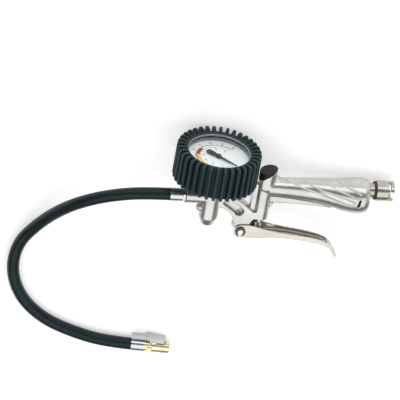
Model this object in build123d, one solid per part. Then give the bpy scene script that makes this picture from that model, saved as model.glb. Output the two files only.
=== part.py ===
from build123d import *
import math
import os

# Tyre inflator with a dial gauge, millimetres. The tool lies on its side on a surface.
# Two frames are used. In the tool frame X runs along the handle away from the gauge, Z is the
# gauge axis towards the dial face, Y completes it, and the origin is the centre of the bezel rim.
# In the rest frame X is the handle direction along the surface, Y is the gauge axis and Z is up.

# --- resting pose -------------------------------------------------------------------------
LEAN_DEG = 9.29            # the handle end sinks by this angle until it meets the surface
REST_HEIGHT = 47.53        # height of the gauge axis above the surface
ORIGIN_X = 77.25           # rest frame position of the centre of the tool's footprint
ORIGIN_Y = -61.20

# --- gauge ---------------------------------------------------------------------------------
CASE_RADIUS = 40.0
CASE_BORE = 38.0
CASE_FLOOR = -34.0
BEZEL_BORE = 34.2
LENS_TOP = -2.5
LENS_THICK = 2.0
DIAL_TOP = -8.3
DIAL_THICK = 0.8
DIAL_RADIUS = 37.8
LEDGE_BORE = 35.5
POINTER_REST_DEG = -45.0
BOOT_VALLEY = 42.2
BOOT_TIP = 47.5
BOOT_TOP = 1.5
BOOT_FLOOR = -36.2
RIB_COUNT = 36
RIB_THICK = 3.6
RIB_TOP = 4.2
RIB_END = -37.0

# --- gauge movement ------------------------------------------------------------------------
GEAR_MODULE = 0.4
PINION_TEETH = 12
SECTOR_TEETH = 60
SECTOR_REST_DEG = 153.0
SECTOR_SPAN_TEETH = 15
PRESSURE_ANGLE = math.radians(25.0)
BACKLASH = 0.05
GEAR_LOW = -16.2
GEAR_HIGH = -14.8
TUBE_RADIUS = 24.5

# --- casting -------------------------------------------------------------------------------
POST_X = 0.5
POST_RADIUS = 10.5
POST_SEAT = -36.2
POST_TAPER_TOP = -85.0
POST_BOTTOM = -93.8
HOSE_Z = -59.6
HOSE_BOSS_RADIUS = 8.5
HOSE_BOSS_END = -29.0
HOSE_THREAD_RADIUS = 6.0
GAUGE_THREAD_RADIUS = 6.58
BLEED_Z = -74.0
WEB_HALF = 7.7
SLOT_WEB_HALF = 1.0
DUCT_Z = -39.5
DUCT_RADIUS = 4.0

# --- valve ---------------------------------------------------------------------------------
VALVE_X = 58.6
VALVE_RADIUS = 8.8
VALVE_BOTTOM = -82.5
VALVE_BORE = 6.0
HEAD_X = 59.5
HEAD_RADIUS = 9.8
HEAD_LOW = -42.0
CUT_Z = -25.0
CUT_DEG = 36.2
CAP_Z = -20.3
CAP_DEG = 14.0
SEAT_LOW = -50.0
SEAT_HIGH = -46.0
PLUG_LOW = -31.0
CHAMBER_RADIUS = 3.5
CHAMBER_LOW = -74.5
STEM_RADIUS = 2.0
STEM_CLEAR = 0.05
GLAND_POCKET = 5.0
GLAND_HIGH = -77.0
GLAND_COLLAR = 3.9
GLAND_LOW = -87.5
PLUNGER_RADIUS = 3.4
PLUNGER_TOP = -92.0
PLUNGER_LOW = -103.4

# --- lever ---------------------------------------------------------------------------------
PIN_X = 37.9
PIN_Z = -97.6
PIN_RADIUS = 3.0
PIN_CLEAR = 0.05
LUG_RADIUS = 6.2
LEVER_HALF = 9.5
LEVER_TIP_HALF = 6.2
SHEET = 1.3

# --- handle --------------------------------------------------------------------------------
HANDLE_END = 175.2
HANDLE_SECTIONS = (
    # x, radius, height of the section's centre
    (62.0, 10.6, -42.2),
    (76.6, 11.0, -42.3),
    (88.0, 11.6, -42.5),
    (99.0, 12.4, -42.8),
    (110.0, 13.3, -43.2),
    (121.6, 14.4, -43.8),
    (130.0, 15.5, -44.8),
    (138.5, 16.8, -45.9),
    (147.0, 18.4, -46.9),
    (155.3, 19.7, -47.4),
    (161.0, 20.2, -47.3),
    (165.5, 20.4, -47.1),
    (169.5, 20.2, -47.0),
    (172.8, 19.2, -46.9),
    (174.3, 18.4, -46.85),
    (HANDLE_END, 17.4, -46.8),
)
# Near side of the handle as seen square on from 40 degrees above and in front of it.
STRIP_ORIGIN = (120.0, 0.0, -44.0)
STRIP_RIGHT = (0.978, -0.139, 0.156)
STRIP_TOWARDS = (-0.201, -0.825, 0.527)
STRIP_OUTLINES = (
    ((-39.6, 12.1), (-30.8, 8.8), (-15.4, 1.7), (-1.1, -3.3), (12.1, -8.8), (23.1, -13.2), (35.2, -17.6),
     (37.9, -17.6), (40.7, -14.0), (28.6, -9.3), (17.6, -5.2), (3.3, -0.1), (-7.7, 5.0), (-14.3, 9.4),
     (-18.7, 13.6)),
    ((-3.3, 13.6), (2.2, 10.5), (12.1, 5.0), (23.1, -1.1), (34.1, -6.0), (42.9, -9.6), (45.6, -9.3),
     (47.8, -5.8), (39.6, -0.5), (29.7, 4.4), (23.1, 8.5), (17.6, 13.6)),
)
INLAY_OUTLINE = ((45.3, -11.1), (47.3, -11.4), (44.6, -19.0), (42.1, -18.8))
GROOVE_DEPTH = 1.0
INSERT_DEPTH = 1.2

# --- inlet coupling ------------------------------------------------------------------------
INLET_THREAD = 6.58
INLET_THREAD_DEPTH = 14.0
CLAW_RADIUS = 11.4
CLAW_NECK = 8.4
CLAW_RING = 181.3
CLAW_BODY = (183.5, 196.5)
CLAW_HOOK = 199.4
CLAW_END = 203.0
INLET_BORE = 4.5

# --- hose ----------------------------------------------------------------------------------
HOSE_RADIUS = 7.0
HOSE_BORE = 3.3
FERRULE_RADIUS = 7.6
FERRULE_END = -46.7
# Route of the hose centreline in the rest frame, before the footprint centre is taken off.
HOSE_ROUTE = (
    (-32.57, -59.60, 52.86),
    (-72.04, -59.60, 59.31),
    (-109.48, -71.33, 56.12),
    (-140.33, -91.55, 46.03),
    (-163.57, -117.77, 30.74),
    (-182.35, -147.51, 15.99),
    (-200.94, -180.31, 8.84),
    (-203.26, -218.51, 7.13),
    (-187.90, -253.62, 7.10),
    (-158.21, -277.83, 7.10),
    (-121.41, -289.98, 7.10),
    (-83.34, -295.83, 7.80),
    (-45.39, -293.78, 7.80),
)
ARC_SHARE = 0.45

# --- chuck on the hose end, in its own frame: X along the hose, Y towards the clip ----------
CHUCK_START = (-55.38, -294.32, 7.8)
CHUCK_TURN_DEG = 3.1
CHUCK_FERRULE = 14.4
CHUCK_END = 41.9
CHUCK_RADIUS = 7.05
CHUCK_MOUTH = 4.1
CHUCK_MOUTH_DEPTH = 9.0
SEAL_POCKET = 4.7
SEAL_THICK = 3.0
CLIP_PIN_X = 25.0
CLIP_PIN_Y = 7.2
CLIP_PIN_RADIUS = 1.5
CLIP_SPRING_X = 18.6

REST_PLANE = Plane(
    origin=(0, 0, 0),
    x_dir=(math.cos(math.radians(LEAN_DEG)), -math.sin(math.radians(LEAN_DEG)), 0),
    z_dir=(-math.sin(math.radians(LEAN_DEG)), -math.cos(math.radians(LEAN_DEG)), 0),
)
TO_REST = Pos(0, 0, REST_HEIGHT) * REST_PLANE.location.inverse()
TO_ROW = Pos(-ORIGIN_X, -ORIGIN_Y, 0)
CHUCK_PLACE = Pos(*CHUCK_START) * Rot(0, 0, CHUCK_TURN_DEG)
LOW = (Align.CENTER, Align.CENTER, Align.MIN)

parts = {}


def rod_z(radius, low, high, x=0.0, y=0.0):
    """Cylinder along Z from low to high."""
    return Pos(x, y, low) * Cylinder(radius, high - low, align=LOW)


def rod_x(radius, low, high, y=0.0, z=0.0):
    """Cylinder along X from low to high."""
    return Pos(low, y, z) * Rot(0, 90, 0) * Cylinder(radius, high - low, align=LOW)


def rod_y(radius, low, high, x=0.0, z=0.0):
    """Cylinder along Y from low to high."""
    return Pos(x, low, z) * Rot(-90, 0, 0) * Cylinder(radius, high - low, align=LOW)


def block(x_range, y_range, z_range):
    """Box between three pairs of limits."""
    size = [b - a for a, b in (x_range, y_range, z_range)]
    centre = [(a + b) / 2 for a, b in (x_range, y_range, z_range)]
    return Pos(*centre) * Box(*size)


def plate_xz(points, low, high):
    """Flat outline in the XZ plane, thickened along Y from low to high."""
    outline = Face(Wire.make_polygon([(x, low, z) for x, z in points], close=True))
    return extrude(outline, amount=high - low, dir=(0, 1, 0))


def plate_xy(points, low, high):
    """Flat outline in the XY plane, thickened along Z from low to high."""
    outline = Face(Wire.make_polygon([(x, y, low) for x, y in points], close=True))
    return extrude(outline, amount=high - low, dir=(0, 0, 1))


def spin(points):
    """Closed outline of (radius, z) points revolved about the Z axis."""
    outline = Face(Wire.make_polygon([(r, 0, z) for r, z in points], close=True))
    return revolve(outline, Axis.Z)


def ring_points(radius, count, start, stop):
    """Points on a circle, angles in degrees."""
    step = (stop - start) / (count - 1)
    angles = [math.radians(start + step * i) for i in range(count)]
    return [(radius * math.cos(a), radius * math.sin(a)) for a in angles]


def handle_shape(shrink):
    """The round handle, its sections smaller by shrink."""
    circles = [
        Plane(origin=(x, 0, z), z_dir=(1, 0, 0)) * Circle(radius - shrink)
        for x, radius, z in HANDLE_SECTIONS
    ]
    return loft(circles, ruled=True)


def near_prism(outline):
    """Prism over an outline drawn on the slanted plane through the handle, towards the near side."""
    plane = Plane(origin=STRIP_ORIGIN, x_dir=STRIP_RIGHT, z_dir=STRIP_TOWARDS)
    face = Face(Wire.make_polygon([plane.from_local_coords((x, y, 0)) for x, y in outline], close=True))
    return extrude(face, amount=40.0, dir=plane.z_dir)


def insert_shape(depth):
    """Slanted black inlay let into the near side of the handle's flare."""
    return near_prism(INLAY_OUTLINE) & (handle_shape(-0.1) - handle_shape(depth))


def above_plane(height, tilt):
    """Everything above a plane through the valve head, tilted up towards the handle."""
    return Pos(HEAD_X, 0, height) * Rot(0, -tilt, 0) * Box(60, 60, 60, align=LOW)


def build_casting():
    """One die casting: post, hose boss, bridge with its slot, valve cylinder and handle."""
    post = rod_z(POST_RADIUS, POST_TAPER_TOP, POST_SEAT, x=POST_X)
    post += rod_z(14.0, -41.0, POST_SEAT, x=POST_X)
    post += Pos(POST_X, 0, POST_BOTTOM) * Cone(7.2, POST_RADIUS, POST_TAPER_TOP - POST_BOTTOM, align=LOW)
    hose_boss = rod_x(HOSE_BOSS_RADIUS, HOSE_BOSS_END, POST_X, z=HOSE_Z)
    bleed_boss = rod_x(4.6, -13.0, POST_X, z=BLEED_Z)
    bridge = plate_xz(
        [(0, -68.0), (8.2, -68.8), (16.3, -70.3), (22.7, -75.1), (27.1, -81.4), (30.0, -89.1),
         (31.7, -97.6), (44.1, -97.6), (46.5, -90.0), (50.5, -82.5), (54.0, -82.5), (54.0, -72.0),
         (49.5, -73.4), (44.5, -69.4), (36.4, -62.4), (29.0, -58.2), (20.0, -55.2), (10.0, -53.4),
         (0, -52.4)],
        -WEB_HALF, WEB_HALF)
    lug = rod_y(LUG_RADIUS, -WEB_HALF, WEB_HALF, x=PIN_X, z=PIN_Z)
    rib = block((45.4, 54.0), (-3.5, 4.5), (-76.0, -39.0))
    cylinder = rod_z(VALVE_RADIUS, VALVE_BOTTOM, HEAD_LOW, x=VALVE_X)
    cylinder += Pos(HEAD_X, 0, HEAD_LOW - 8.0) * Cone(VALVE_RADIUS - 1.0, HEAD_RADIUS, 8.0, align=LOW)
    cylinder += rod_z(HEAD_RADIUS, HEAD_LOW, -10.0, x=HEAD_X)
    keel = plate_xz(
        [(62.0, -58.8), (70.0, -59.3), (100.0, -59.6), (120.0, -60.6), (136.0, -62.6), (136.0, -46.0),
         (62.0, -44.0)],
        -6.0, 6.0)
    fillet_web = plate_xz([(60.0, -58.0), (74.5, -58.0), (70.4, -60.4), (67.9, -66.0),
                           (60.0, -66.0)], -5.0, 5.0)
    gusset = plate_xz(
        [(60.0, -36.0), (60.0, -26.5), (69.4, -26.5), (71.2, -29.4), (75.5, -32.0),
         (75.5, -38.0)], -5.5, 5.5)
    casting = post + hose_boss + gusset + bleed_boss + bridge + lug + rib + keel + fillet_web
    casting += handle_shape(0.0)
    casting += cylinder
    head_space = rod_z(HEAD_RADIUS + 1.0, HEAD_LOW, 0.0, x=HEAD_X)
    casting -= above_plane(CUT_Z, CUT_DEG) & head_space
    casting -= above_plane(CAP_Z, CAP_DEG) & head_space

    slot = plate_xz(
        [(13.2, -62.2), (15.2, -60.6), (21.5, -60.7), (31.0, -64.2), (38.4, -71.6), (38.2, -75.4),
         (35.2, -78.4), (31.4, -78.2), (27.6, -74.6), (22.4, -70.6), (14.6, -65.4)],
        -WEB_HALF - 1, WEB_HALF + 1)
    slot = fillet(slot.edges().filter_by(Axis.Y), 1.4)
    casting -= slot - block((0.0, 60.0), (-SLOT_WEB_HALF, SLOT_WEB_HALF), (-90.0, -50.0))

    casting -= rod_z(GAUGE_THREAD_RADIUS, -48.0, POST_SEAT + 1, x=POST_X)
    casting -= rod_z(2.5, HOSE_Z, -48.0, x=POST_X)
    casting -= rod_x(HOSE_THREAD_RADIUS, HOSE_BOSS_END - 1, -14.0, z=HOSE_Z)
    casting -= rod_x(2.5, -14.0, POST_X, z=HOSE_Z)
    casting -= rod_x(3.0, -14.0, -6.0, z=BLEED_Z)

    casting -= rod_z(VALVE_BORE, SEAT_LOW, -5.0, x=VALVE_X)
    casting -= rod_z(CHAMBER_RADIUS, CHAMBER_LOW, SEAT_LOW, x=VALVE_X)
    casting -= rod_z(GLAND_POCKET, VALVE_BOTTOM - 1, CHAMBER_LOW, x=VALVE_X)
    casting -= rod_x(DUCT_RADIUS, VALVE_X, HANDLE_END + 1, z=DUCT_Z)
    casting -= rod_x(INLET_THREAD, HANDLE_END - INLET_THREAD_DEPTH, HANDLE_END + 1, z=DUCT_Z)
    casting -= rod_y(PIN_RADIUS, -WEB_HALF - 1, WEB_HALF + 1, x=PIN_X, z=PIN_Z)
    casting -= insert_shape(INSERT_DEPTH)

    air_path = FilletPolyline(
        (POST_X, 0, -56.4), (20.0, 0, -57.9), (29.6, 0, -61.4), (38.2, 0, -68.6), (45.5, 0, -73.4),
        (VALVE_X, 0, -72.2),
        radius=3.0)
    air_section = Plane(origin=air_path @ 0, z_dir=air_path % 0) * Circle(1.3)
    casting -= sweep(air_section, path=air_path)

    grooves = handle_shape(-1.0) - handle_shape(GROOVE_DEPTH)
    far_side = block((60.0, HANDLE_END), (2.0, 30.0), (-70.0, -36.0))
    for outline in STRIP_OUTLINES:
        strip = near_prism(outline)
        casting -= grooves & strip
        casting -= grooves & mirror(strip, about=Plane.XZ) & far_side
    return casting


def build_boot():
    """Rubber boot: a sleeve over the gauge case with ribs that bend over the rim."""
    sleeve = spin([(34.8, 0.0), (35.6, BOOT_TOP), (38.4, BOOT_TOP), (41.2, -0.2), (BOOT_VALLEY, -2.4),
                   (BOOT_VALLEY, BOOT_FLOOR + 0.8),
                   (41.4, BOOT_FLOOR), (28.0, BOOT_FLOOR), (28.0, CASE_FLOOR), (CASE_RADIUS, CASE_FLOOR),
                   (CASE_RADIUS, 0.0)])
    rib = plate_xz([(36.8, 1.0), (38.6, 3.0), (40.6, RIB_TOP), (44.6, RIB_TOP), (46.4, 3.0),
                    (BOOT_TIP, 0.6),
                    (BOOT_TIP, -35.4), (46.6, RIB_END), (41.2, RIB_END), (40.8, -20.0), (40.8, 0.0)],
                   -RIB_THICK / 2, RIB_THICK / 2)
    pitch = 360.0 / RIB_COUNT
    ribs = [Rot(0, 0, pitch * i) * rib for i in range(RIB_COUNT)]
    return sleeve + ribs


def tooth_outline(teeth, first, last, addendum, dedendum, thinner):
    """Involute tooth flanks of a gear about its own centre, first to last tooth inclusive."""
    pitch_radius = GEAR_MODULE * teeth / 2
    base_radius = pitch_radius * math.cos(PRESSURE_ANGLE)
    root = pitch_radius - dedendum * GEAR_MODULE
    tip = pitch_radius + addendum * GEAR_MODULE
    inv_pitch = math.tan(PRESSURE_ANGLE) - PRESSURE_ANGLE
    half_pitch_tooth = math.pi / (2 * teeth) - thinner / (2 * pitch_radius)
    flank = [root]
    steps = 4
    start = max(base_radius, root)
    flank += [start + (tip - start) * k / steps for k in range(1 if start == root else 0, steps + 1)]
    points = []
    for tooth in range(first, last + 1):
        centre = 2 * math.pi * tooth / teeth
        left = []
        for radius in flank:
            alpha = math.acos(min(1.0, base_radius / radius)) if radius > base_radius else 0.0
            half = half_pitch_tooth + inv_pitch - (math.tan(alpha) - alpha)
            left.append((radius, centre - half))
        right = [(radius, 2 * centre - angle) for radius, angle in reversed(left)]
        points += left + right
    return [(r * math.cos(a), r * math.sin(a)) for r, a in points]


def build_gauge():
    """The dial gauge and its movement."""
    case = rod_z(CASE_RADIUS, CASE_FLOOR, LENS_TOP) - rod_z(CASE_BORE, DIAL_TOP - DIAL_THICK, LENS_TOP + 1)
    case -= rod_z(LEDGE_BORE, CASE_FLOOR + 2.0, 0.0)
    case -= rod_z(7.5, CASE_FLOOR - 1, CASE_FLOOR + 3, x=POST_X)
    parts["gauge_case"] = case
    parts["gauge_bezel"] = spin([(BEZEL_BORE, LENS_TOP), (BEZEL_BORE, -0.5), (BEZEL_BORE + 0.5, 0.0),
                                 (39.2, 0.0),
                                 (CASE_RADIUS, -0.8), (CASE_RADIUS, LENS_TOP)])
    parts["gauge_lens"] = rod_z(CASE_BORE - 0.1, LENS_TOP - LENS_THICK, LENS_TOP)
    spacer = rod_z(CASE_BORE - 0.1, DIAL_TOP, LENS_TOP - LENS_THICK)
    parts["gauge_spacer"] = spacer - rod_z(BEZEL_BORE + 0.2, DIAL_TOP - 1, 0.0)
    parts["gauge_dial"] = rod_z(DIAL_RADIUS, DIAL_TOP - DIAL_THICK, DIAL_TOP)
    parts["gauge_dial"] -= rod_z(2.0, DIAL_TOP - 2, 0.0)
    parts["gauge_gasket"] = rod_z(13.0, POST_SEAT, CASE_FLOOR, x=POST_X)
    parts["gauge_gasket"] -= rod_z(7.5, POST_SEAT - 1, 0.0, x=POST_X)

    socket = rod_z(7.5, POST_SEAT, -20.0, x=POST_X) + rod_z(GAUGE_THREAD_RADIUS, -47.0, POST_SEAT, x=POST_X)
    socket += block((POST_X, 22.8), (-4.0, 4.0), (-28.5, -20.0))
    socket -= rod_z(40.0, -30.0, -15.0) - rod_z(TUBE_RADIUS - 1.65, -31.0, -14.0)
    socket -= rod_z(2.0, -48.0, -25.0, x=POST_X)
    socket -= rod_x(1.2, POST_X, 23.5, z=-24.5)
    parts["gauge_socket"] = socket

    # flattened tube bent into most of a circle, with a closed tip block
    outer = ring_points(TUBE_RADIUS + 1.6, 41, -9.0, 262.0)
    inner = ring_points(TUBE_RADIUS - 1.6, 41, -9.0, 262.0)
    bourdon = plate_xy(outer + inner[::-1], -28.5, -20.5)
    outer_void = ring_points(TUBE_RADIUS + 1.0, 41, -7.0, 258.0)
    inner_void = ring_points(TUBE_RADIUS - 1.0, 41, -7.0, 258.0)
    bourdon -= plate_xy(outer_void + inner_void[::-1], -27.9, -21.1)
    bourdon -= rod_x(1.2, 22.0, 24.0, z=-24.5)
    parts["bourdon_tube"] = bourdon

    arbor_x = GEAR_MODULE * (PINION_TEETH + SECTOR_TEETH) / 2
    plates = block((-11.0, 19.0), (-9.0, 9.0), (-20.0, -19.0))
    plates += block((-11.0, 19.0), (-9.0, 9.0), (-12.5, -11.5))
    for side in (-6.5, 6.5):
        plates += rod_z(1.4, -19.5, -12.0, x=-8.5, y=side)
    for x in (0.0, arbor_x):
        plates -= rod_z(0.75, -21.0, -11.0, x=x)
    parts["movement_plates"] = plates

    turns = [(2.4 + 0.55 * k / 12.0, math.radians(30.0 * k)) for k in range(0, 60)]
    spiral_out = [(r * math.cos(a), r * math.sin(a)) for r, a in turns]
    spiral_in = [((r - 0.18) * math.cos(a), (r - 0.18) * math.sin(a)) for r, a in turns]
    parts["hairspring"] = plate_xy(spiral_out + spiral_in[::-1], -14.0, -13.4)

    teeth = tooth_outline(PINION_TEETH, 0, PINION_TEETH - 1, 0.8, 1.15, BACKLASH)
    pinion = plate_xy(teeth, GEAR_LOW - 0.3, GEAR_HIGH + 0.3)
    pinion += rod_z(0.7, -19.9, -6.8)
    parts["pointer_arbor"] = pinion

    pointer = plate_xy([(-15.2, -2.6), (-13.4, -3.4), (-6.4, -3.4), (-3.4, -2.0), (3.0, -1.6), (26.6, -0.4),
                        (26.6, 0.4), (3.0, 1.6), (-3.4, 2.0), (-6.4, 3.4), (-13.4, 3.4), (-15.2, 2.6)],
                       -6.8, -6.1)
    pointer += rod_z(3.2, -6.8, -5.3)
    parts["gauge_pointer"] = Rot(0, 0, POINTER_REST_DEG) * pointer

    reach = SECTOR_SPAN_TEETH // 2
    rim = tooth_outline(SECTOR_TEETH, -reach, reach, 0.8, 1.15, BACKLASH)
    sector = plate_xy([(0.9, -1.6)] + rim + [(0.9, 1.6)], GEAR_LOW, GEAR_HIGH)
    sector += rod_z(2.1, GEAR_LOW - 0.2, GEAR_HIGH + 0.2)
    sector += block((-7.4, -1.0), (-1.3, 1.3), (GEAR_LOW + 0.2, GEAR_HIGH - 0.2))
    sector += rod_z(0.7, -19.9, -11.6)
    sector -= rod_z(0.6, -18.0, -13.0, x=-6.2)
    sector_place = Pos(arbor_x, 0, 0) * Rot(0, 0, SECTOR_REST_DEG)
    parts["sector_gear"] = sector_place * sector
    link = block((-15.5, -5.2), (-0.9, 0.9), (-17.4, -16.5)) + rod_z(0.6, -17.4, -14.2, x=-6.2)
    parts["link_bar"] = sector_place * link
    parts["gauge_boot"] = build_boot()


def build_valve():
    """Poppet valve worked by the lever through a plunger."""
    plug = rod_z(VALVE_BORE - 0.02, PLUG_LOW, -5.0, x=VALVE_X) - above_plane(CUT_Z, CUT_DEG)
    plug += rod_z(HEAD_RADIUS - 0.1, HEAD_LOW, -5.0, x=HEAD_X) & above_plane(CUT_Z, CUT_DEG)
    parts["valve_plug"] = plug - above_plane(CAP_Z, CAP_DEG)
    seat = rod_z(VALVE_BORE, SEAT_LOW, SEAT_HIGH, x=VALVE_X)
    seat -= rod_z(3.0, SEAT_LOW - 1, SEAT_HIGH + 1, x=VALVE_X)
    parts["valve_seat"] = seat
    stem = rod_z(STEM_RADIUS, PLUNGER_TOP, SEAT_HIGH + 3.5, x=VALVE_X)
    stem += rod_z(4.6, SEAT_HIGH + 1.2, SEAT_HIGH + 2.8, x=VALVE_X)
    stem += rod_z(PLUNGER_RADIUS, PLUNGER_LOW + PLUNGER_RADIUS, PLUNGER_TOP, x=VALVE_X)
    stem += Pos(VALVE_X, 0, PLUNGER_LOW + PLUNGER_RADIUS) * Sphere(PLUNGER_RADIUS)
    parts["valve_stem"] = stem
    face = rod_z(4.6, SEAT_HIGH + 0.05, SEAT_HIGH + 1.2, x=VALVE_X)
    parts["poppet_seal"] = face - rod_z(STEM_RADIUS, SEAT_HIGH - 1, SEAT_HIGH + 2, x=VALVE_X)
    oring = Pos(VALVE_X, 0, GLAND_HIGH + 1.2) * Torus(3.4, 1.1)
    parts["stem_oring"] = oring - rod_z(STEM_RADIUS + STEM_CLEAR, -80.0, -70.0, x=VALVE_X)
    gland = rod_z(GLAND_POCKET, VALVE_BOTTOM, GLAND_HIGH, x=VALVE_X)
    gland += rod_z(GLAND_COLLAR, GLAND_LOW, VALVE_BOTTOM, x=VALVE_X)
    parts["stem_gland"] = gland - rod_z(STEM_RADIUS + STEM_CLEAR, GLAND_LOW - 1, GLAND_HIGH + 1, x=VALVE_X)

    # closing spring, a round wire helix between the poppet and the plug
    spring_low = SEAT_HIGH + 3.2
    spring_high = PLUG_LOW - 0.4
    wire = 0.4
    coil = Helix(pitch=(spring_high - spring_low) / 5.0, height=spring_high - spring_low, radius=3.2)
    section = Plane(origin=coil @ 0, z_dir=coil % 0) * Circle(wire)
    parts["valve_spring"] = Pos(VALVE_X, 0, spring_low) * sweep(section, path=coil)


def build_lever():
    """Pressed steel lever, a channel open towards the handle, with its pin and clip."""
    side = rod_y(7.8, -12.0, 12.0, x=PIN_X, z=PIN_Z)
    side += plate_xz(
        [(37.9, -89.8), (46.0, -89.2), (53.0, -90.3), (64.0, -93.4), (76.4, -96.2), (90.0, -98.3),
         (105.0, -100.2),
         (120.0, -102.4), (130.2, -104.9), (138.9, -108.2), (143.8, -111.6), (147.0, -115.4),
         (148.6, -119.0),
         (151.6, -122.2), (152.8, -125.0), (151.8, -126.6), (149.8, -126.0), (147.6, -122.4),
         (145.4, -118.8),
         (142.4, -115.4), (137.0, -112.4), (131.0, -110.4), (118.0, -108.0), (106.0, -106.0),
         (92.0, -104.4),
         (80.0, -103.7), (70.0, -103.9), (64.0, -104.9), (37.9, -105.3)],
        -12.0, 12.0)
    outline = plate_xy(
        [(25.0, -LEVER_HALF), (60.0, -LEVER_HALF), (154.0, -LEVER_TIP_HALF), (154.0, LEVER_TIP_HALF),
         (60.0, LEVER_HALF), (25.0, LEVER_HALF)],
        -130.0, -80.0)
    lever = side & outline
    inside = plate_xz(
        [(20.0, -103.5), (64.0, -103.5), (70.0, -102.5), (80.0, -102.3), (92.0, -103.0), (106.0, -104.6),
         (118.0, -106.6), (131.0, -109.0), (136.0, -110.2), (139.4, -110.6), (139.0, -104.0),
         (136.0, -80.0),
         (20.0, -80.0)],
        -12.0, 12.0)
    inner_half = LEVER_HALF - SHEET
    inner_tip = LEVER_TIP_HALF - SHEET
    inner_outline = plate_xy(
        [(20.0, -inner_half), (60.0, -inner_half), (154.0, -inner_tip), (154.0, inner_tip),
         (60.0, inner_half),
         (20.0, inner_half)],
        -130.0, -70.0)
    lever -= inside & inner_outline
    lever -= block((20.0, 45.6), (-inner_half, inner_half), (-110.0, -100.0))
    lever -= rod_y(PIN_RADIUS + PIN_CLEAR, -12.0, 12.0, x=PIN_X, z=PIN_Z)
    for x in (74.0, 79.0):
        lever -= rod_z(2.0, -108.0, -98.0, x=x)
    lever -= block((74.0, 79.0), (-2.0, 2.0), (-108.0, -98.0))
    parts["trigger_lever"] = lever

    pin = rod_y(PIN_RADIUS, -11.6, 9.8, x=PIN_X, z=PIN_Z) + rod_y(4.6, 9.8, 11.3, x=PIN_X, z=PIN_Z)
    pin -= rod_y(PIN_RADIUS + 1, -10.9, -9.8, x=PIN_X, z=PIN_Z) - rod_y(2.3, -11.0, -9.7, x=PIN_X, z=PIN_Z)
    parts["pivot_pin"] = pin
    clip = rod_y(5.8, -10.85, -9.85, x=PIN_X, z=PIN_Z) - rod_y(2.35, -12.0, -9.0, x=PIN_X, z=PIN_Z)
    clip -= Pos(PIN_X + 0.3, -10.3, PIN_Z - 4.0) * Box(4.4, 3.0, 6.0)
    parts["pin_clip"] = clip


def around_x(start, stop, low, high):
    """Wedge about the air bore's axis. Angles in degrees from the dial side towards the near side."""
    angles = [math.radians(start + (stop - start) * k / 4) for k in range(5)]
    points = [(low, 0.0, DUCT_Z)] + [(low, -30.0 * math.sin(a), DUCT_Z + 30.0 * math.cos(a)) for a in angles]
    return extrude(Face(Wire.make_polygon(points, close=True)), amount=high - low, dir=(1, 0, 0))


def build_inlet():
    """Claw coupling screwed into the handle end, with two hooked claws."""
    body_low, body_high = CLAW_BODY
    claw = rod_x(INLET_THREAD, HANDLE_END - INLET_THREAD_DEPTH + 1, HANDLE_END, z=DUCT_Z)
    claw += rod_x(CLAW_NECK, HANDLE_END, body_low, z=DUCT_Z)
    claw += rod_x(CLAW_RADIUS, body_low, body_high, z=DUCT_Z)
    shell = rod_x(CLAW_RADIUS, body_high, CLAW_END, z=DUCT_Z)
    shell -= rod_x(8.2, body_high - 1, CLAW_END + 1, z=DUCT_Z)
    for turn in (0.0, 180.0):
        claw += shell & around_x(turn - 57.5, turn - 2.5, body_high, CLAW_END)
        claw += shell & around_x(turn - 57.5, turn + 66.0, CLAW_HOOK, CLAW_END)
    claw -= rod_x(INLET_BORE, 150.0, CLAW_END + 5, z=DUCT_Z)
    claw -= rod_x(6.8, body_high - 4.0, CLAW_END + 5, z=DUCT_Z)
    parts["inlet_claw"] = claw
    washer = rod_x(10.3, CLAW_RING, body_low, z=DUCT_Z)
    washer -= rod_x(CLAW_NECK, CLAW_RING - 1, body_low + 1, z=DUCT_Z)
    parts["inlet_washer"] = washer
    seal = rod_x(6.8, body_high - 4.0, body_high + 1.2, z=DUCT_Z) - rod_x(4.6, 180.0, 200.0, z=DUCT_Z)
    parts["claw_seal"] = seal
    screen = rod_x(DUCT_RADIUS, 153.0, 159.0, z=DUCT_Z) - rod_x(2.6, 154.2, 160.0, z=DUCT_Z)
    parts["inlet_screen"] = screen


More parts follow.
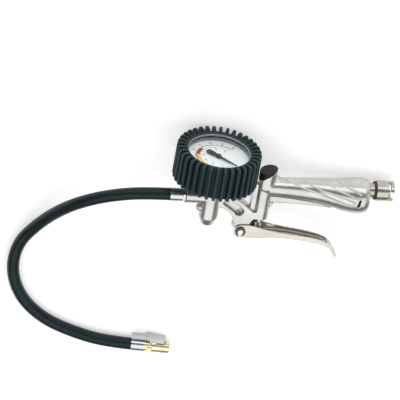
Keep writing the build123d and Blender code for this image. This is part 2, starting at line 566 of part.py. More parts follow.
def build_hose():
    """Hose, its two end fittings on the tool, and the air passage through them."""
    nipple = rod_x(HOSE_THREAD_RADIUS, HOSE_BOSS_END, -16.0, z=HOSE_Z)
    hexagon = Pos(-33.0 + 0.6, 0, HOSE_Z) * Rot(0, 90, 0) * extrude(RegularPolygon(7.6, 6), amount=3.0)
    nipple += hexagon
    nipple += rod_x(HOSE_BORE - 0.05, -44.0, -32.0, z=HOSE_Z)
    nipple -= rod_x(1.9, -46.0, -14.0, z=HOSE_Z)
    parts["hose_nipple"] = nipple - rod_x(9.0, -29.4, HOSE_BOSS_END, z=HOSE_Z) + (
        rod_x(HOSE_THREAD_RADIUS, -29.4, HOSE_BOSS_END, z=HOSE_Z) - rod_x(1.9, -46.0, -14.0, z=HOSE_Z))
    seal = rod_x(8.1, -29.4, HOSE_BOSS_END, z=HOSE_Z) - rod_x(HOSE_THREAD_RADIUS, -31.0, -28.0, z=HOSE_Z)
    parts["hose_seal"] = seal
    ferrule = rod_x(FERRULE_RADIUS, FERRULE_END, -33.0, z=HOSE_Z)
    for x in (-43.6, -39.4, -35.6):
        groove = rod_x(10.0, x - 0.5, x + 0.5, z=HOSE_Z)
        ferrule -= groove - rod_x(FERRULE_RADIUS - 0.3, x - 1, x + 1, z=HOSE_Z)
    parts["gun_ferrule"] = ferrule - rod_x(HOSE_RADIUS + 0.02, -60.0, -30.0, z=HOSE_Z)
    parts["handle_inlay"] = insert_shape(INSERT_DEPTH)
    bleed = rod_x(3.0, -14.4, -8.0, z=BLEED_Z)
    bleed -= block((-15.0, -13.6), (-3.5, 3.5), (BLEED_Z - 0.4, BLEED_Z + 0.4))
    parts["bleed_plug"] = bleed

    radii = []
    points = [Vector(*p) for p in HOSE_ROUTE]
    for before, here, after in zip(points, points[1:], points[2:]):
        turn = math.radians((here - before).get_angle(after - here))
        shorter = min((here - before).length, (after - here).length)
        radii.append(ARC_SHARE * shorter / math.tan(turn / 2))
    print("hose bend radii", [round(r, 1) for r in radii])
    path = FilletPolyline(*HOSE_ROUTE, radius=radii)
    section = Plane(origin=path @ 0, z_dir=path % 0) * (Circle(HOSE_RADIUS) - Circle(HOSE_BORE))
    tube = sweep(section, path=path)
    section_volume = math.pi * (HOSE_RADIUS ** 2 - HOSE_BORE ** 2) * path.length
    print("hose length", round(path.length, 2))
    print("hose volume", round(tube.volume, 1), "section times length", round(section_volume, 1))
    return tube


def build_chuck():
    """Clip-on chuck for a tyre valve, in its own frame."""
    ferrule = rod_x(FERRULE_RADIUS, 0.0, CHUCK_FERRULE)
    for x in (3.2, 7.0, 11.0):
        ferrule -= rod_x(10.0, x - 0.5, x + 0.5) - rod_x(FERRULE_RADIUS - 0.3, x - 1, x + 1)
    parts["chuck_ferrule"] = ferrule - rod_x(HOSE_RADIUS + 0.02, -1.0, CHUCK_FERRULE + 1)
    tail = rod_x(HOSE_BORE - 0.05, -2.0, 10.0) + rod_x(HOSE_RADIUS, 10.0, CHUCK_FERRULE)
    tail += rod_x(4.5, CHUCK_FERRULE, 22.0)
    parts["chuck_tail"] = tail - rod_x(1.8, -3.0, 23.0)

    body = rod_x(CHUCK_RADIUS, CHUCK_FERRULE, CHUCK_END)
    body += block((21.0, 29.2), (4.0, 9.0), (-3.4, 3.4))
    for side in (-1, 1):
        body -= block((17.4, 23.4), (-9.0, 3.6), (side * 6.4 - 0.6, side * 6.4 + 0.6))
    body -= rod_x(10.0, 15.4, 16.4) - rod_x(CHUCK_RADIUS - 0.6, 15.0, 17.0)
    body -= rod_x(10.0, 31.0, 31.9) - rod_x(CHUCK_RADIUS - 0.5, 30.0, 33.0)
    body -= rod_x(4.5, CHUCK_FERRULE - 1, 22.0)
    seal_high = CHUCK_END - CHUCK_MOUTH_DEPTH
    seal_low = seal_high - SEAL_THICK
    body -= rod_x(3.4, 21.0, seal_low + 0.5)
    body -= rod_x(SEAL_POCKET, seal_low, seal_high)
    body -= rod_x(CHUCK_MOUTH, seal_high, CHUCK_END + 1)
    body -= block((35.0, 39.2), (2.0, 9.0), (-3.6, 3.6))
    body -= block((27.0, 30.4), (-9.0, -5.6), (-1.0, 3.0))
    body -= rod_z(CLIP_PIN_RADIUS, -5.0, 5.0, x=CLIP_PIN_X, y=CLIP_PIN_Y)
    parts["chuck_body"] = body
    parts["chuck_seal"] = rod_x(SEAL_POCKET, seal_low, seal_high) - rod_x(2.2, 20.0, 40.0)
    spider = rod_x(3.4, 26.0, 27.4) + rod_x(0.9, 27.0, seal_high - 0.2)
    for angle in (0, 120, 240):
        spider -= Rot(angle, 0, 0) * rod_x(0.8, 25.0, 28.0, y=2.1)
    parts["chuck_depressor"] = spider
    ring = rod_x(6.5, CHUCK_END, CHUCK_END + 1.4) - rod_x(CHUCK_MOUTH, CHUCK_END - 1, CHUCK_END + 3)
    parts["chuck_ring"] = ring
    parts["chuck_pin"] = rod_z(CLIP_PIN_RADIUS, -6.5, 6.5, x=CLIP_PIN_X, y=CLIP_PIN_Y)
    spring_height = 5.0
    coil = Helix(pitch=spring_height / 4.0, height=spring_height, radius=1.5)
    section = Plane(origin=coil @ 0, z_dir=coil % 0) * Circle(0.3)
    coil_place = Pos(CLIP_SPRING_X, CHUCK_RADIUS + 0.35, 0) * Rot(-90, 0, 0)
    parts["chuck_spring"] = coil_place * sweep(section, path=coil)

    tail = plate_xy([(-0.5, 12.1), (-0.5, 13.4), (18.0, 13.9), (18.0, 12.6)], -4.0, 4.0)
    top = plate_xy([(16.0, 13.0), (17.2, 14.5), (36.6, 12.1), (38.2, 11.0), (38.2, 4.5), (36.9, 4.5),
                    (36.9, 10.6),
                    (36.0, 10.9), (17.6, 13.2)], -6.0, 6.0)
    jaw_sides = block((33.6, 40.0), (0.0, 9.6), (3.0, 7.0)) + block((33.6, 40.0), (0.0, 9.6), (-7.0, -3.0))
    top -= jaw_sides
    cheek = plate_xy([(17.0, 13.6), (36.4, 11.2), (36.4, 7.4), (29.2, 8.2), (27.6, 5.6), (22.6, 5.6),
                      (21.4, 9.8),
                      (17.0, 10.6)],
                     -6.0, 6.0)
    cheek -= block((0.0, 40.0), (0.0, 20.0), (-5.0, 5.0))
    top += tail
    clip = top + cheek
    clip -= rod_z(CLIP_PIN_RADIUS + PIN_CLEAR, -8.0, 8.0, x=CLIP_PIN_X, y=CLIP_PIN_Y)
    parts["chuck_clip"] = clip


build_gauge()
build_valve()
build_lever()
build_inlet()
parts["body_casting"] = build_casting()
hose_tube = build_hose()
placed = {name: TO_ROW * TO_REST * shape for name, shape in parts.items()}
placed["hose"] = TO_ROW * hose_tube
parts.clear()
build_chuck()
for name, shape in parts.items():
    placed[name] = TO_ROW * CHUCK_PLACE * shape

os.makedirs("parts", exist_ok=True)
for name, shape in placed.items():
    export_step(shape, f"parts/{name}.step")
print(len(placed), "nodes")
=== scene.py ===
import math

import bmesh
import bpy
from mathutils import Matrix, Vector


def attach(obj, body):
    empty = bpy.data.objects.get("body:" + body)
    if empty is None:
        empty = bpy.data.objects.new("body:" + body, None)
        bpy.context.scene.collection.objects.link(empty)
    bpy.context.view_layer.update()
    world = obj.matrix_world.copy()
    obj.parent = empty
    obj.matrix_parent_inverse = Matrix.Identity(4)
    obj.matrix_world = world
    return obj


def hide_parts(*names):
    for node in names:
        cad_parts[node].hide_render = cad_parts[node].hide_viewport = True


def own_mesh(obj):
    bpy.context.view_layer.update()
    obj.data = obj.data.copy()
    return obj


# Tyre inflator with a dial gauge, lying on its side on a pale surface.
# Two sets of coordinates are used. The row frame is the scene's own, in metres. The tool frame is
# in millimetres: X along the handle, Z the gauge axis towards the dial, origin at the centre of
# the bezel rim.

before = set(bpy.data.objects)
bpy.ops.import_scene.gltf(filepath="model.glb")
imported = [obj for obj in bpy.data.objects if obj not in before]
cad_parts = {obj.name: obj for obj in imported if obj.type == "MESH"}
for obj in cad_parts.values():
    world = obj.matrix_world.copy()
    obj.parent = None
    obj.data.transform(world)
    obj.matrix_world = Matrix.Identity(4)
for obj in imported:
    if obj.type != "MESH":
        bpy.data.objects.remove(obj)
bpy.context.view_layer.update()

MM = 0.001
LEAN = math.radians(9.29)
AXIS_HEIGHT = 47.53
FOOT_X = 77.25
FOOT_Y = -61.20
TOOL = Matrix((
    (math.cos(LEAN), -math.sin(LEAN), 0.0, -FOOT_X),
    (0.0, 0.0, 1.0, -FOOT_Y),
    (-math.sin(LEAN), -math.cos(LEAN), 0.0, AXIS_HEIGHT),
    (0.0, 0.0, 0.0, 1.0),
))
TO_METRES = Matrix.Diagonal((MM, MM, MM, 1.0))
TOOL_TO_ROW = TO_METRES @ TOOL

# Hose route: control points of its centreline, in metres, from the tool to the chuck.
HOSE_ROUTE = (
    (-0.10982, 0.00160, 0.05286),
    (-0.14929, 0.00160, 0.05931),
    (-0.18673, -0.01013, 0.05612),
    (-0.21758, -0.03035, 0.04603),
    (-0.24082, -0.05657, 0.03074),
    (-0.25960, -0.08631, 0.01599),
    (-0.27819, -0.11911, 0.00884),
    (-0.28051, -0.15731, 0.00713),
    (-0.26515, -0.19242, 0.00710),
    (-0.23546, -0.21663, 0.00710),
    (-0.19866, -0.22878, 0.00710),
    (-0.16059, -0.23463, 0.00780),
    (-0.12264, -0.23258, 0.00780),
)
HOSE_DIAMETER = 0.014

# Boot, in the tool frame: one profile between the ribs and one along a rib, (radius, height).
RIB_COUNT = 36
VALLEY_PROFILE = (
    (41.4, -36.2), (41.9, -36.1), (42.2, -35.8), (42.2, -35.0), (42.2, -33.0), (42.2, -24.0), (42.2, -14.0),
    (42.2, -6.0), (42.2, -3.4), (42.1, -2.2), (41.8, -1.2), (41.3, -0.3), (40.6, 0.4), (39.7, 0.9),
    (38.7, 1.3), (37.7, 1.5), (36.6, 1.5), (35.7, 1.4), (35.1, 0.9), (34.8, 0.05),
)
RIB_PROFILE = (
    (41.6, -37.0), (44.5, -37.0), (46.3, -36.6), (47.2, -35.6), (47.5, -33.6), (47.5, -24.0), (47.5, -14.0),
    (47.5, -6.0), (47.5, -1.6), (47.4, 0.8), (46.9, 2.4), (45.9, 3.6), (44.5, 4.15), (42.8, 4.2),
    (41.2, 4.15), (39.6, 3.7), (38.0, 2.7), (36.6, 1.9), (35.1, 0.9), (34.8, 0.05),
)
# Inner wall of the boot, against the gauge case.
INNER_PROFILE = ((39.9, -1.0), (39.9, -35.0), (40.2, -36.2))
# Share of the pitch from a rib's middle, and how far the surface stands up the rib there.
RIB_SECTION = ((0.0, 1.0), (0.10, 0.995), (0.17, 0.96), (0.205, 0.86), (0.225, 0.60), (0.24, 0.28),
               (0.262, 0.06), (0.31, 0.0), (0.40, 0.0), (0.50, 0.0))

# Dial print, in the tool frame. Angles are in degrees, clockwise from the zero mark.
DIAL_TOP = -8.3
PRINT_LOW = DIAL_TOP + 0.005
PRINT_HIGH = DIAL_TOP + 0.06
ZERO_DEG = -45.0
SWEEP_DEG = 270.0
BARS = 10
PSI_TOP = 145
SCALE_RADIUS = 24.2
INK_LINE = 0.55
RED_RADIUS = 20.5
RED_LINE = 0.3
RED_TICK = 1.9
RED_TICK_HALF_DEG = 0.6
ZONE_RADII = (20.9, 24.1)
ZONE_STARTS = (98.0, 147.0, 182.0)
NUMBER_RADIUS = 29.4
NUMBER_SIZE = 5.0
RED_NUMBER_RADIUS = 16.0
RED_NUMBER_SIZE = 3.2

# Camera, in the row frame: about six metres away, above and in front of the dial.
CAMERA_PLACE = (-0.482061, 3.176808, 5.159524)
CAMERA_RIGHT = (0.987562, 0.155826, -0.020964)
CAMERA_UP = (-0.143063, 0.835250, -0.530933)
FOCAL_LENGTH = 490.909

# Stage: floor and background glow.
FLOOR_REACH = 12.0
FLOOR_GLOW = 0.4
WORLD_GLOW = 0.22


def material(name, colour, second, scale, metallic=0.0, rough=(0.4, 0.5), bump=0.0, bump_scale=900.0,
             stretch=(1.0, 1.0, 1.0), edge=None, edge_gain=6.0, **sockets):
    """Principled material whose colour, roughness and bump vary with noise over the piece."""
    made = bpy.data.materials.new(name)
    made.use_nodes = True
    nodes, links = made.node_tree.nodes, made.node_tree.links
    shader = nodes["Principled BSDF"]
    place = nodes.new("ShaderNodeTexCoord")
    squeeze = nodes.new("ShaderNodeMapping")
    squeeze.inputs["Scale"].default_value = stretch
    links.new(place.outputs["Object"], squeeze.inputs["Vector"])
    broad = nodes.new("ShaderNodeTexNoise")
    broad.inputs["Scale"].default_value = scale
    broad.inputs["Detail"].default_value = 5.0
    links.new(squeeze.outputs["Vector"], broad.inputs["Vector"])
    tint = nodes.new("ShaderNodeValToRGB")
    tint.color_ramp.elements[0].position = 0.32
    tint.color_ramp.elements[0].color = (*colour, 1.0)
    tint.color_ramp.elements[1].position = 0.68
    tint.color_ramp.elements[1].color = (*second, 1.0)
    links.new(broad.outputs["Fac"], tint.inputs["Fac"])
    last = tint.outputs["Color"]
    if edge:
        shape = nodes.new("ShaderNodeNewGeometry")
        raised = nodes.new("ShaderNodeMapRange")
        raised.inputs["From Min"].default_value = 0.5
        raised.inputs["From Max"].default_value = 0.5 + 0.5 / edge_gain
        links.new(shape.outputs["Pointiness"], raised.inputs["Value"])
        worn = nodes.new("ShaderNodeMix")
        worn.data_type = "RGBA"
        worn.inputs["B"].default_value = (*edge, 1.0)
        links.new(raised.outputs["Result"], worn.inputs["Factor"])
        links.new(last, worn.inputs["A"])
        last = worn.outputs["Result"]
    links.new(last, shader.inputs["Base Color"])
    fine = nodes.new("ShaderNodeTexNoise")
    fine.inputs["Scale"].default_value = bump_scale
    fine.inputs["Detail"].default_value = 3.0
    links.new(squeeze.outputs["Vector"], fine.inputs["Vector"])
    gloss = nodes.new("ShaderNodeMapRange")
    gloss.inputs["From Min"].default_value = 0.3
    gloss.inputs["From Max"].default_value = 0.7
    gloss.inputs["To Min"].default_value = rough[0]
    gloss.inputs["To Max"].default_value = rough[1]
    links.new(fine.outputs["Fac"], gloss.inputs["Value"])
    links.new(gloss.outputs["Result"], shader.inputs["Roughness"])
    if bump:
        relief = nodes.new("ShaderNodeBump")
        relief.inputs["Strength"].default_value = bump
        relief.inputs["Distance"].default_value = 0.0002
        links.new(fine.outputs["Fac"], relief.inputs["Height"])
        links.new(relief.outputs["Normal"], shader.inputs["Normal"])
    shader.inputs["Metallic"].default_value = metallic
    for socket, value in sockets.items():
        shader.inputs[socket.replace("_", " ")].default_value = value
    return made


def glass_material():
    """Thin clear window: lets light through and mirrors a little, more at a glancing angle."""
    made = bpy.data.materials.new("window_glass")
    made.use_nodes = True
    nodes, links = made.node_tree.nodes, made.node_tree.links
    nodes.remove(nodes["Principled BSDF"])
    clear = nodes.new("ShaderNodeBsdfTransparent")
    clear.inputs["Color"].default_value = (0.985, 0.995, 0.99, 1.0)
    mirror = nodes.new("ShaderNodeBsdfGlossy")
    mirror.inputs["Roughness"].default_value = 0.03
    angle = nodes.new("ShaderNodeLayerWeight")
    angle.inputs["Blend"].default_value = 0.25
    outside = nodes.new("ShaderNodeNewGeometry")
    front = nodes.new("ShaderNodeMath")
    front.operation = "SUBTRACT"
    front.inputs[0].default_value = 1.0
    links.new(outside.outputs["Backfacing"], front.inputs[1])
    amount = nodes.new("ShaderNodeMath")
    amount.operation = "MULTIPLY"
    links.new(angle.outputs["Fresnel"], amount.inputs[0])
    links.new(front.outputs["Value"], amount.inputs[1])
    share = nodes.new("ShaderNodeMath")
    share.operation = "MULTIPLY"
    share.inputs[1].default_value = 0.35
    links.new(amount.outputs["Value"], share.inputs[0])
    both = nodes.new("ShaderNodeMixShader")
    links.new(share.outputs["Value"], both.inputs["Fac"])
    links.new(clear.outputs["BSDF"], both.inputs[1])
    links.new(mirror.outputs["BSDF"], both.inputs[2])
    links.new(both.outputs["Shader"], nodes["Material Output"].inputs["Surface"])
    return made


MATERIALS = {
    "satin_nickel": material("cast_nickel", (0.50, 0.49, 0.46), (0.58, 0.57, 0.54), 60.0, 1.0,
                             (0.22, 0.34), bump=0.16, bump_scale=1400.0),
    "lever_steel": material("pressed_steel", (0.50, 0.475, 0.425), (0.60, 0.57, 0.52), 50.0, 1.0,
                            (0.16, 0.30), bump=0.08, bump_scale=1100.0, stretch=(0.3, 1.0, 1.0)),
    "claw_steel": material("claw_nickel", (0.38, 0.355, 0.315), (0.50, 0.47, 0.42), 90.0, 1.0,
                           (0.18, 0.32), bump=0.08, bump_scale=1200.0),
    "chrome": material("bright_chrome", (0.50, 0.54, 0.56), (0.60, 0.64, 0.66), 90.0, 1.0,
                       (0.12, 0.24), bump=0.05, bump_scale=1000.0),
    "zinc_steel": material("zinc_plate", (0.60, 0.60, 0.58), (0.72, 0.71, 0.68), 90.0, 1.0,
                           (0.20, 0.34), bump=0.08, bump_scale=1200.0),
    "dark_steel": material("blackened_steel", (0.05, 0.05, 0.05), (0.11, 0.105, 0.10), 120.0, 1.0,
                           (0.3, 0.45), bump=0.1, bump_scale=1400.0),
    "spring_steel": material("spring_wire", (0.45, 0.45, 0.44), (0.58, 0.57, 0.56), 200.0, 1.0,
                             (0.2, 0.35)),
    "clip_steel": material("clip_plate", (0.40, 0.40, 0.39), (0.50, 0.495, 0.48), 80.0, 1.0,
                           (0.26, 0.40), bump=0.1, bump_scale=1200.0),
    "brass": material("plain_brass", (0.68, 0.50, 0.22), (0.78, 0.60, 0.30), 120.0, 1.0, (0.2, 0.35)),
    "pale_brass": material("turned_brass", (0.68, 0.60, 0.38), (0.80, 0.73, 0.52), 120.0, 1.0,
                           (0.18, 0.32), bump=0.08, bump_scale=1500.0, stretch=(3.0, 0.6, 0.6)),
    "yellow_brass": material("ring_brass", (0.72, 0.60, 0.28), (0.82, 0.71, 0.40), 120.0, 1.0,
                             (0.15, 0.28), bump=0.06, bump_scale=1500.0),
    "boot_rubber": material("boot_moulding", (0.005, 0.011, 0.012), (0.011, 0.021, 0.022), 70.0, 0.0,
                            (0.45, 0.60), bump=0.25, bump_scale=1600.0, edge=(0.036, 0.055, 0.056),
                            edge_gain=7.0, Specular_IOR_Level=0.28,
                            Specular_Tint=(0.72, 0.95, 0.96, 1.0)),
    "seal_rubber": material("seal_moulding", (0.010, 0.010, 0.011), (0.020, 0.020, 0.021), 150.0, 0.0,
                            (0.4, 0.6), bump=0.15, bump_scale=1600.0),
    "hose_rubber": material("hose_cover", (0.003, 0.007, 0.008), (0.006, 0.012, 0.013), 60.0, 0.0,
                            (0.26, 0.40), bump=0.12, bump_scale=1500.0, Specular_IOR_Level=0.30,
                            Specular_Tint=(0.68, 0.94, 0.96, 1.0)),
    "black_plastic": material("black_moulding", (0.005, 0.009, 0.008), (0.012, 0.017, 0.016), 90.0,
                              0.0, (0.35, 0.5), bump=0.15, bump_scale=1400.0, Specular_IOR_Level=0.25),
    "gauge_grey": material("case_moulding", (0.030, 0.034, 0.036), (0.042, 0.047, 0.050), 80.0, 0.0,
                           (0.4, 0.5), bump=0.1),
    "rim_grey": material("rim_moulding", (0.20, 0.225, 0.235), (0.26, 0.285, 0.295), 90.0, 0.35,
                         (0.22, 0.32), bump=0.05),
    "dial_white": material("dial_paint", (0.90, 0.92, 0.93), (0.94, 0.96, 0.97), 45.0, 0.0,
                           (0.45, 0.55), bump=0.03, bump_scale=2000.0),
    "pointer_black": material("pointer_paint", (0.008, 0.009, 0.010), (0.016, 0.017, 0.018), 200.0,
                              0.0, (0.35, 0.45)),
    "lens": glass_material(),
}
INKS = {
    "black": material("ink_black", (0.02, 0.02, 0.022), (0.04, 0.04, 0.045), 300.0, 0.0, (0.5, 0.6)),
    "red": material("ink_red", (0.42, 0.05, 0.06), (0.50, 0.08, 0.08), 300.0, 0.0, (0.5, 0.6)),
    "zone_yellow": material("ink_yellow", (0.80, 0.55, 0.06), (0.86, 0.62, 0.10), 300.0, 0.0,
                            (0.5, 0.6)),
    "zone_red": material("ink_dark_red", (0.42, 0.012, 0.016), (0.50, 0.02, 0.02), 300.0, 0.0,
                         (0.5, 0.6)),
}

SLOT_OF = {}
for name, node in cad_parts.items():
    SLOT_OF[name] = node.data.materials[0].name.split(".")[0]
    for index in range(len(node.data.materials)):
        node.data.materials[index] = MATERIALS[SLOT_OF[name]]


def add_mesh(name, vertices, faces, slot, smooth=True, finish=None):
    """New piece of the tool body from points in the tool frame, put in the row frame."""
    data = bpy.data.meshes.new(name)
    data.from_pydata(vertices, [], faces)
    shape = bmesh.new()
    shape.from_mesh(data)
    bmesh.ops.remove_doubles(shape, verts=shape.verts, dist=1e-5)
    bmesh.ops.recalc_face_normals(shape, faces=shape.faces)
    shape.to_mesh(data)
    shape.free()
    data.transform(TOOL_TO_ROW)
    if smooth:
        data.shade_smooth()
    piece = bpy.data.objects.new(name, data)
    bpy.context.collection.objects.link(piece)
    data.materials.append(finish or MATERIALS[slot])
    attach(piece, "tool")
    return piece


def apply_modifiers(piece):
    """Replaces a piece's mesh with what its modifiers make of it."""
    graph = bpy.context.evaluated_depsgraph_get()
    made = bpy.data.meshes.new_from_object(piece.evaluated_get(graph))
    piece.modifiers.clear()
    piece.data = made


def soften(name, node, voxel, passes, body="tool"):
    """Piece with a CAD node's shape and its edges rounded as casting or pressing leaves them."""
    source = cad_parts[node]
    data = source.data.copy()
    data.name = name
    shape = bmesh.new()
    shape.from_mesh(data)
    bmesh.ops.remove_doubles(shape, verts=shape.verts, dist=2e-6)
    shape.to_mesh(data)
    shape.free()
    piece = bpy.data.objects.new(name, data)
    bpy.context.collection.objects.link(piece)
    remesh = piece.modifiers.new("voxels", "REMESH")
    remesh.mode = "VOXEL"
    remesh.voxel_size = voxel * MM
    remesh.use_smooth_shade = True
    relax = piece.modifiers.new("relax", "SMOOTH")
    relax.factor = 0.5
    relax.iterations = passes
    apply_modifiers(piece)
    piece.data.materials.clear()
    slot = SLOT_OF[node]
    piece.data.materials.append(MATERIALS[slot])
    piece.data.shade_smooth()
    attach(piece, body)
    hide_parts(node)


def coil_spring(name, node):
    """Coil spring as a copy of a CAD node's mesh, fixed to the tool body."""
    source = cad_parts[node]
    piece = bpy.data.objects.new(name, source.data.copy())
    bpy.context.collection.objects.link(piece)
    piece.matrix_world = source.matrix_world
    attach(piece, "tool")
    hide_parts(node)
    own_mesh(piece)


def build_hose():
    """Rubber hose on its route, as one smooth curve."""
    line = bpy.data.curves.new("hose_cover", "CURVE")
    line.dimensions = "3D"
    spline = line.splines.new("NURBS")
    spline.points.add(len(HOSE_ROUTE) - 1)
    for point, place in zip(spline.points, HOSE_ROUTE):
        point.co = (*place, 1.0)
    spline.order_u = 3
    spline.use_endpoint_u = True
    spline.resolution_u = 16
    line.bevel_depth = HOSE_DIAMETER / 2
    line.bevel_resolution = 8
    line.use_fill_caps = True
    hose = bpy.data.objects.new("hose_cover", line)
    bpy.context.collection.objects.link(hose)
    line.materials.append(MATERIALS["hose_rubber"])
    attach(hose, "tool")
    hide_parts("hose")
    return hose


def build_boot():
    """Rubber boot with rounded ribs that run up the side and bend over the rim."""
    pitch = 2 * math.pi / RIB_COUNT
    steps = [(-share, height) for share, height in reversed(RIB_SECTION[1:-1])] + list(RIB_SECTION)
    columns = []
    for rib in range(RIB_COUNT):
        for share, height in steps:
            angle = (rib + share) * pitch
            column = []
            for (low_r, low_z), (high_r, high_z) in zip(VALLEY_PROFILE, RIB_PROFILE):
                radius = low_r + (high_r - low_r) * height
                z = low_z + (high_z - low_z) * height
                column.append((radius * math.cos(angle), radius * math.sin(angle), z))
            columns.append(column)
    rows = len(VALLEY_PROFILE) + len(INNER_PROFILE)
    vertices = []
    for index, column in enumerate(columns):
        share, _ = steps[index % len(steps)]
        angle = (index // len(steps) + share) * pitch
        vertices += column
        vertices += [(radius * math.cos(angle), radius * math.sin(angle), z) for radius, z in INNER_PROFILE]
    faces = []
    count = len(columns)
    for i in range(count):
        for j in range(rows):
            a, b = i * rows + j, i * rows + (j + 1) % rows
            c, d = ((i + 1) % count) * rows + (j + 1) % rows, ((i + 1) % count) * rows + j
            faces.append((a, b, c, d))
    boot = add_mesh("boot_sleeve", vertices, faces, "boot_rubber")
    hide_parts("gauge_boot")


def dial_angle(sweep):
    """Angle about the gauge axis, in radians, of a place on the scale."""
    return math.radians(ZERO_DEG - sweep)


def arc_band(inner, outer, start, stop, low=PRINT_LOW, high=PRINT_HIGH):
    """Vertices and faces of a flat closed band along part of the scale."""
    steps = max(1, math.ceil(abs(stop - start) / 3.0))
    vertices, faces = [], []
    for k in range(steps + 1):
        angle = dial_angle(start + (stop - start) * k / steps)
        for radius, z in ((inner, low), (outer, low), (outer, high), (inner, high)):
            vertices.append((radius * math.cos(angle), radius * math.sin(angle), z))
    for k in range(steps):
        for j in range(4):
            a, b = 4 * k + j, 4 * k + (j + 1) % 4
            faces.append((a, b, b + 4, a + 4))
    faces += [(0, 1, 2, 3), tuple(4 * steps + j for j in (3, 2, 1, 0))]
    return vertices, faces


def merge(parts):
    """One list of vertices and faces from several."""
    vertices, faces = [], []
    for points, polygons in parts:
        base = len(vertices)
        vertices += points
        faces += [tuple(base + i for i in polygon) for polygon in polygons]
    return vertices, faces


def ticks(inner, length, width, count, skip=0):
    """Radial marks from the inner radius outwards, evenly along the whole scale."""
    made = []
    half = math.degrees(width / 2 / inner)
    for k in range(count + 1):
        if not skip or k % skip:
            sweep = SWEEP_DEG * k / count
            made.append(arc_band(inner, inner + length, sweep - half, sweep + half))
    return made


def numbers(name, values, sweeps, radius, size, ink):
    """Digits that stand upright with the gauge held by the handle, as one closed mesh."""
    pieces = []
    for value, sweep in zip(values, sweeps):
        text = bpy.data.curves.new(name, "FONT")
        text.body = str(value)
        text.size = size
        text.align_x = "CENTER"
        text.align_y = "CENTER"
        text.extrude = (PRINT_HIGH - PRINT_LOW) / 2
        text.resolution_u = 3
        holder = bpy.data.objects.new(name, text)
        bpy.context.collection.objects.link(holder)
        bpy.context.view_layer.update()
        graph = bpy.context.evaluated_depsgraph_get()
        digits = bpy.data.meshes.new_from_object(holder.evaluated_get(graph))
        bpy.data.objects.remove(holder)
        angle = dial_angle(sweep)
        place = Vector((radius * math.cos(angle), radius * math.sin(angle), (PRINT_LOW + PRINT_HIGH) / 2))
        digits.transform(Matrix.Translation(place) @ Matrix.Rotation(math.radians(90.0), 4, "Z"))
        points = [tuple(vertex.co) for vertex in digits.vertices]
        pieces.append((points, [tuple(polygon.vertices) for polygon in digits.polygons]))
        bpy.data.meshes.remove(digits)
    return add_mesh(name, *merge(pieces), "dial_white", smooth=False, finish=ink)


def build_dial_print():
    """Scales, coloured zones and numbers, each a thin layer of ink on the dial."""
    black = [arc_band(SCALE_RADIUS, SCALE_RADIUS + INK_LINE, 0.0, SWEEP_DEG)]
    black += ticks(SCALE_RADIUS, 3.0, 0.7, BARS)
    black += ticks(SCALE_RADIUS, 2.2, 0.5, BARS * 2, skip=2)
    black += ticks(SCALE_RADIUS, 1.4, 0.3, BARS * 10, skip=5)
    add_mesh("bar_scale", *merge(black), "dial_white", smooth=False, finish=INKS["black"])
    red = [arc_band(RED_RADIUS - RED_LINE, RED_RADIUS, 0.0, SWEEP_DEG)]
    psi_step = SWEEP_DEG * 10 / PSI_TOP
    for k in range(PSI_TOP // 10 + 1):
        middle = psi_step * k
        red.append(arc_band(RED_RADIUS - RED_TICK, RED_RADIUS, middle - RED_TICK_HALF_DEG,
                            middle + RED_TICK_HALF_DEG))
    add_mesh("psi_scale", *merge(red), "dial_white", smooth=False, finish=INKS["red"])
    start, middle, stop = ZONE_STARTS
    add_mesh("zone_caution", *arc_band(*ZONE_RADII, start, middle), "dial_white", smooth=False,
             finish=INKS["zone_yellow"])
    add_mesh("zone_limit", *arc_band(*ZONE_RADII, middle, stop), "dial_white", smooth=False,
             finish=INKS["zone_red"])
    bars = range(0, BARS + 1)
    numbers("bar_numbers", bars, [SWEEP_DEG * k / BARS for k in bars], NUMBER_RADIUS, NUMBER_SIZE,
            INKS["black"])
    psis = range(0, PSI_TOP, 20)
    numbers("psi_numbers", psis, [SWEEP_DEG * k / PSI_TOP for k in psis], RED_NUMBER_RADIUS,
            RED_NUMBER_SIZE, INKS["red"])


def build_camera():
    """Camera at the photograph's angle, far away, so that the view is nearly parallel."""
    lens = bpy.data.cameras.new("camera")
    lens.sensor_width = 36.0
    lens.lens = FOCAL_LENGTH
    lens.clip_start = 0.1
    lens.clip_end = 50.0
    camera = bpy.data.objects.new("camera", lens)
    right = Vector(CAMERA_RIGHT)
    up = Vector(CAMERA_UP)
    back = right.cross(up)
    x, y, z = CAMERA_PLACE
    camera.matrix_world = Matrix((
        (right.x, up.x, back.x, x),
        (right.y, up.y, back.y, y),
        (right.z, up.z, back.z, z),
        (0.0, 0.0, 0.0, 1.0),
    ))
    bpy.context.collection.objects.link(camera)
    bpy.context.scene.camera = camera


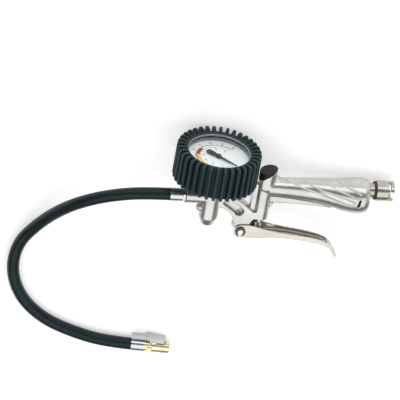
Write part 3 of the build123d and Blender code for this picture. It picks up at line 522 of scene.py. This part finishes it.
def area_light(name, place, aim, width, height, power):
    """Soft rectangular lamp that the camera itself doesn't see."""
    lamp = bpy.data.lights.new(name, "AREA")
    lamp.shape = "RECTANGLE"
    lamp.size = width
    lamp.size_y = height
    lamp.energy = power
    holder = bpy.data.objects.new(name, lamp)
    holder.location = place
    holder.rotation_mode = "QUATERNION"
    holder.rotation_quaternion = (Vector(aim) - Vector(place)).to_track_quat("-Z", "Y")
    holder.visible_camera = False
    bpy.context.collection.objects.link(holder)


def build_stage():
    """Pale floor and soft studio light."""
    floor_data = bpy.data.meshes.new("floor")
    reach = FLOOR_REACH
    corners = [(-reach, -reach, 0), (reach, -reach, 0), (reach, reach, 0), (-reach, reach, 0)]
    floor_data.from_pydata(corners, [], [(0, 1, 2, 3)])
    floor = bpy.data.objects.new("floor", floor_data)
    bpy.context.collection.objects.link(floor)
    floor_data.materials.append(material("floor_paper", (0.80, 0.80, 0.80), (0.82, 0.82, 0.82), 3.0, 0.0,
                                         (0.85, 0.9), Specular_IOR_Level=0.1,
                                         Emission_Color=(1.0, 1.0, 1.0, 1.0),
                                         Emission_Strength=FLOOR_GLOW))

    world = bpy.data.worlds.new("studio")
    bpy.context.scene.world = world
    world.use_nodes = True
    world.node_tree.nodes["Background"].inputs["Color"].default_value = (0.96, 0.98, 1.0, 1.0)
    world.node_tree.nodes["Background"].inputs["Strength"].default_value = WORLD_GLOW
    area_light("front_softbox", (0.0, 1.8, 0.8), (0.0, 0.0, 0.05), 4.0, 1.1, 24.0)
    area_light("top_softbox", (0.0, -0.95, 2.2), (0.0, -0.95, 0.0), 5.0, 3.1, 66.0)
    area_light("side_softbox", (2.3, 0.2, 0.8), (0.0, 0.0, 0.05), 1.8, 1.1, 6.0)
    bpy.context.scene.view_settings.view_transform = "Standard"
    bpy.context.scene.view_settings.look = "None"


build_camera()
hose = build_hose()
coil_spring("clip_coil", "chuck_spring")
build_boot()
build_dial_print()
soften("casting_skin", "body_casting", 0.5, 5)
soften("lever_pressing", "trigger_lever", 0.35, 4, body="lever")
soften("claw_coupling", "inlet_claw", 0.35, 3)
coil_spring("valve_coil", "valve_spring")
build_stage()
